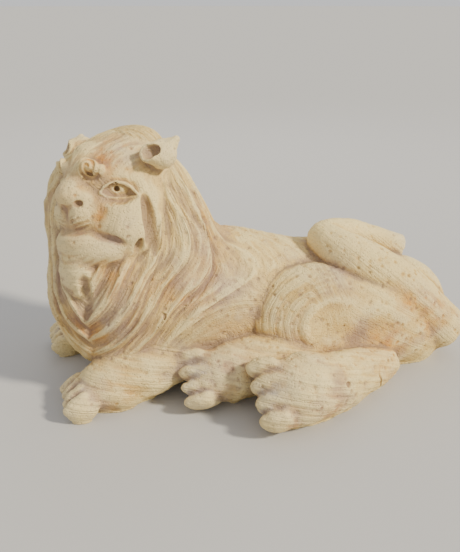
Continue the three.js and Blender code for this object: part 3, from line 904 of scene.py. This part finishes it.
def clay_material():
    material = bpy.data.materials.new("buff_clay")
    material.use_nodes = True
    tree = material.node_tree
    n = Nodes(tree)
    shader = tree.nodes["Principled BSDF"]
    place = n.add("ShaderNodeTexCoord").outputs["Object"]
    hollow = n.attribute("hollow")

    cloud = n.noise(place, 16, 5)
    grain = n.noise(place, 480, 3, 0.7)
    broken = n.noise(place, 38, 5, 0.65)
    across = n.sum("MULTIPLY", n.attribute("flow"), LINES_PER_METRE)
    lines = n.noise(n.drawn(place, LINE_CHANGE, across), 1.0, 3, 0.6)
    colour = n.mixed(n.span(cloud, 0.36, 0.66), CREAM, PALE_CREAM)
    orange = n.sum("MULTIPLY", n.attribute("orange"), n.span(broken, 0.36, 0.62))
    streak = n.sum("MULTIPLY", n.span(n.noise(place, 11, 5, 0.6), 0.52, 0.68), 0.45)
    colour = n.mixed(n.sum("MAXIMUM", orange, streak), colour, ORANGE)
    # Painted shade: mauve spots on the shaded front of the face and chest, under the chest and belly and on
    # the far side; the haze adds real mauve mottling at random
    mauve_and_painted_shade = n.sum("MULTIPLY", n.attribute("mauve_and_painted_shade"), n.span(broken, 0.62, 0.42, 0.15, 0.75))
    haze = n.sum("MULTIPLY", n.span(n.noise(place, 20, 5, 0.65), 0.50, 0.66), 0.5)
    colour = n.mixed(n.sum("MAXIMUM", mauve_and_painted_shade, haze), colour, MAUVE_AND_PAINTED_SHADE)
    ashen = n.sum("MULTIPLY", n.attribute("ashen"), n.span(broken, 0.60, 0.40, 0.3, 0.9))
    colour = n.mixed(ashen, colour, ASH)
    dragged = n.attribute("dragged")
    # Painted shade: the troughs of the drag-mark lines are darkened
    colour = n.mixed(n.sum("MULTIPLY", n.span(lines, 0.46, 0.30, 0, 0.5), dragged), colour, PAINTED_GROOVE_SHADE)
    # Painted shade: points below the smoothed form are darkened by their depth
    colour = n.mixed(n.span(hollow, 0.05, 0.9, 0, 0.62), colour, PAINTED_GROOVE_SHADE)
    # Painted highlight: crests above the smoothed form are made paler
    colour = n.mixed(n.span(hollow, -0.05, -0.7, 0, 0.55), colour, PAINTED_CREST_HIGHLIGHT)
    colour = n.mixed(n.span(grain, 0.57, 0.68, 0, 0.5), colour, SPECK)
    n.give(shader.inputs["Base Color"], colour)
    n.give(shader.inputs["Roughness"], n.span(cloud, 0.3, 0.7, 0.80, 0.95))
    shader.inputs["Specular IOR Level"].default_value = SHINE
    pores = n.add("ShaderNodeTexVoronoi", {"Vector": place, "Scale": 330}).outputs["Distance"]
    scuffs = n.noise(place, 130, 4, 0.6, 0.6)
    rough = n.sum("ADD", n.span(pores, 0.05, 0.34), n.sum("ADD", grain, scuffs))
    height = n.sum("ADD", rough, n.sum("MULTIPLY", n.span(lines, 0.28, 0.56, 0, 2.2), dragged))
    bump = n.add("ShaderNodeBump", {"Height": height, "Strength": BUMP_STRENGTH, "Distance": BUMP_DEPTH})
    n.give(shader.inputs["Normal"], bump.outputs["Normal"])
    return material


# Pits, a share of evenly spread cells with a dent each, and drag marks along the flow of the clay
MARK_SIZES = (
    ("Pit Spacing", "NodeSocketFloat", 0.0065),
    ("Pit Depth", "NodeSocketFloat", 0.0012),
    ("Pit Share", "NodeSocketFloat", 0.35),
    ("Mark Spacing", "NodeSocketFloat", 0.0055),
    ("Mark Depth", "NodeSocketFloat", 0.0019),
    ("Seed", "NodeSocketInt", 7),
)


def marks_tree(material):
    tree = bpy.data.node_groups.new("clay_marks", "GeometryNodeTree")
    tree.interface.new_socket("Geometry", in_out="INPUT", socket_type="NodeSocketGeometry")
    for name, kind, _ in MARK_SIZES:
        tree.interface.new_socket(name, in_out="INPUT", socket_type=kind)
    tree.interface.new_socket("Geometry", in_out="OUTPUT", socket_type="NodeSocketGeometry")
    n = Nodes(tree)
    given = n.add("NodeGroupInput").outputs
    at = n.add("GeometryNodeInputPosition").outputs["Position"]
    shift = n.add("ShaderNodeCombineXYZ", {axis: given["Seed"] for axis in "XYZ"}).outputs["Vector"]
    shifted = n.moved(at, shift)
    per_metre = n.sum("DIVIDE", 1.0, given["Pit Spacing"])
    cell = n.add("ShaderNodeTexVoronoi", {"Vector": shifted, "Scale": per_metre})
    chance = n.add("ShaderNodeSeparateXYZ", {"Vector": cell.outputs["Color"]}).outputs["X"]
    chosen = n.sum("LESS_THAN", chance, n.sum("MULTIPLY", given["Pit Share"], n.named("pitted")))
    pit_depth = n.sum("MULTIPLY", chosen, given["Pit Depth"])
    dent = n.sum("MULTIPLY", n.span(cell.outputs["Distance"], 0.40, 0.14), pit_depth)
    across = n.sum("DIVIDE", n.named("flow"), given["Mark Spacing"])
    ribs = n.span(n.noise(n.drawn(shifted, MARK_CHANGE, across), 1.0, 2.0), 0.30, 0.58)
    mark_depth = n.sum("MULTIPLY", n.named("dragged"), given["Mark Depth"])
    groove = n.sum("MULTIPLY", n.sum("SUBTRACT", 1.0, ribs), mark_depth)
    normal = n.add("GeometryNodeInputNormal").outputs["Normal"]
    outward = n.sum("MULTIPLY", n.sum("ADD", dent, groove), -1.0)
    offset = n.scaled(normal, outward)
    moved = n.add("GeometryNodeSetPosition", {"Geometry": given["Geometry"], "Offset": offset})
    real = n.add("GeometryNodeRealizeInstances", {"Geometry": moved.outputs["Geometry"]})
    coated = n.add("GeometryNodeSetMaterial", {"Geometry": real.outputs["Geometry"], "Material": material})
    n.add("NodeGroupOutput", {"Geometry": coated.outputs["Geometry"]})
    return tree


def add_marks(made, material):
    tree = marks_tree(material)
    marks = made.modifiers.new("marks", "NODES")
    marks.node_group = tree
    taken = [item for item in tree.interface.items_tree if item.in_out == "INPUT"]
    identifiers = {item.name: item.identifier for item in taken}
    for name, _, value in MARK_SIZES:
        marks[identifiers[name]] = value


def thin(made, triangles):
    step = made.modifiers.new("thin", "DECIMATE")
    step.ratio = triangles / (2 * len(made.data.polygons))
    step.use_collapse_triangulate = True


def made_plain(made):
    """The object with its modifiers' result as its own plain mesh."""
    seen = made.evaluated_get(bpy.context.evaluated_depsgraph_get())
    mesh = bpy.data.meshes.new_from_object(seen)
    made.modifiers.clear()
    made.data = mesh


def lion_figure():
    places, quads = skin(field_on_grid())
    places = settled(places)
    made = mesh_object("lion_figure", (places - FOOTPRINT_MIDDLE) * MM, quads)
    flow, dragged = drag_flow(places.astype(np.float32))
    paint(made.data, "flow", flow * MM)
    paint(made.data, "dragged", dragged)
    paint(made.data, "pitted", pitted_share(places))
    add_marks(made, clay_material())
    thin(made, TRIANGLES)
    made_plain(made)
    mesh = made.data
    mesh.polygons.foreach_set("use_smooth", np.ones(len(mesh.polygons), bool))
    p = mesh_places(mesh, "co") / MM + FOOTPRINT_MIDDLE
    side = mirrored(head_place(p.astype(np.float32)))
    paint(mesh, "hollow", np.clip(hollow_depth(mesh, HOLLOW_ROUNDS) / (HOLLOW_FULL * MM), -1, 1))
    paint(mesh, "orange", spotted(p, ORANGE_SPOTS))
    paint(mesh, "mauve_and_painted_shade", spotted(p, MAUVE_AND_PAINTED_SHADE_SPOTS))
    paint(mesh, "ashen", np.maximum(spotted(p, ASHEN_SPOTS), spotted(side, [EAR_TIP])))
    return made


lion_piece = lion_figure()
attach(lion_piece, "root")
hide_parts("lion")


# Floor, light and camera
FLOOR_REACH = 40
FLOOR_STEPS = 48
PAPER = (0.50, 0.495, 0.485, 1)
PAPER_ROUGHNESS = 0.9
LAMP_TARGET = (0, 0, 0.1)
LAMPS = (   # name, kind, place, power, spread, tint
    ("key_light", "SUN", (0.92, -0.78, 0.96), 4.4, math.radians(7), (1, 0.91, 0.74)),
    ("fill_light", "AREA", (-1.3, -0.7, 0.7), 0.8, 1.4, (0.82, 0.80, 1)),
    ("back_light", "AREA", (0.3, 1.2, 1.2), 4, 1.0, (1, 1, 1)),
)
SKY = (0.97, 0.97, 0.98, 1)
SKY_STRENGTH = 0.78


def floor():
    """A wide pale disc."""
    turn = np.arange(FLOOR_STEPS) * 2 * math.pi / FLOOR_STEPS
    rim = FLOOR_REACH * np.stack([np.cos(turn), np.sin(turn), 0 * turn], 1)
    sheet = mesh_object("studio_floor", rim, np.arange(FLOOR_STEPS)[None])
    paper = bpy.data.materials.new("pale_paper")
    paper.use_nodes = True
    shader = paper.node_tree.nodes["Principled BSDF"]
    shader.inputs["Base Color"].default_value = PAPER
    shader.inputs["Roughness"].default_value = PAPER_ROUGHNESS
    sheet.data.materials.append(paper)


def aimed(obj, at, to):
    obj.location = at
    obj.rotation_euler = (Vector(to) - Vector(at)).to_track_quat("-Z", "Y").to_euler()


def lamp(name, kind, at, power, spread, tint):
    """A lamp aimed at the figure's middle; its spread is an angle for a sun and a width for a panel."""
    light = bpy.data.lights.new(name, kind)
    light.energy = power
    setattr(light, "angle" if kind == "SUN" else "size", spread)
    light.color = tint
    made = bpy.data.objects.new(name, light)
    bpy.context.collection.objects.link(made)
    aimed(made, at, LAMP_TARGET)


VIEW_AZIMUTH = math.radians(-18)
VIEW_RISE = math.radians(23)
VIEW_REACH = 720
VIEW_TARGET = np.array([10, -48, 120.0])
SENSOR = 36
NEAREST = 0.05
LENS_PIXELS = 654.5
PICTURE_HEIGHT = 552
OFF_CENTRE = 18     # pixels from the picture's middle to the target


def photo_camera():
    a, e = VIEW_AZIMUTH, VIEW_RISE
    back = np.array([math.sin(a) * math.cos(e), -math.cos(a) * math.cos(e), math.sin(e)])
    right = np.array([math.cos(a), math.sin(a), 0])
    at = VIEW_TARGET + back * VIEW_REACH
    to = VIEW_TARGET - right * (VIEW_REACH * OFF_CENTRE / LENS_PIXELS)
    camera = bpy.data.cameras.new("photo_camera")
    camera.sensor_fit = "VERTICAL"
    camera.sensor_height = SENSOR
    camera.lens = SENSOR * LENS_PIXELS / PICTURE_HEIGHT
    camera.clip_start = NEAREST
    made = bpy.data.objects.new("photo_camera", camera)
    bpy.context.collection.objects.link(made)
    aimed(made, (at - FOOTPRINT_MIDDLE) * MM, (to - FOOTPRINT_MIDDLE) * MM)
    bpy.context.scene.camera = made


floor()
for row in LAMPS:
    lamp(*row)
world = bpy.data.worlds.new("studio")
world.use_nodes = True
sky = world.node_tree.nodes["Background"]
sky.inputs["Color"].default_value = SKY
sky.inputs["Strength"].default_value = SKY_STRENGTH
bpy.context.scene.world = world
photo_camera()
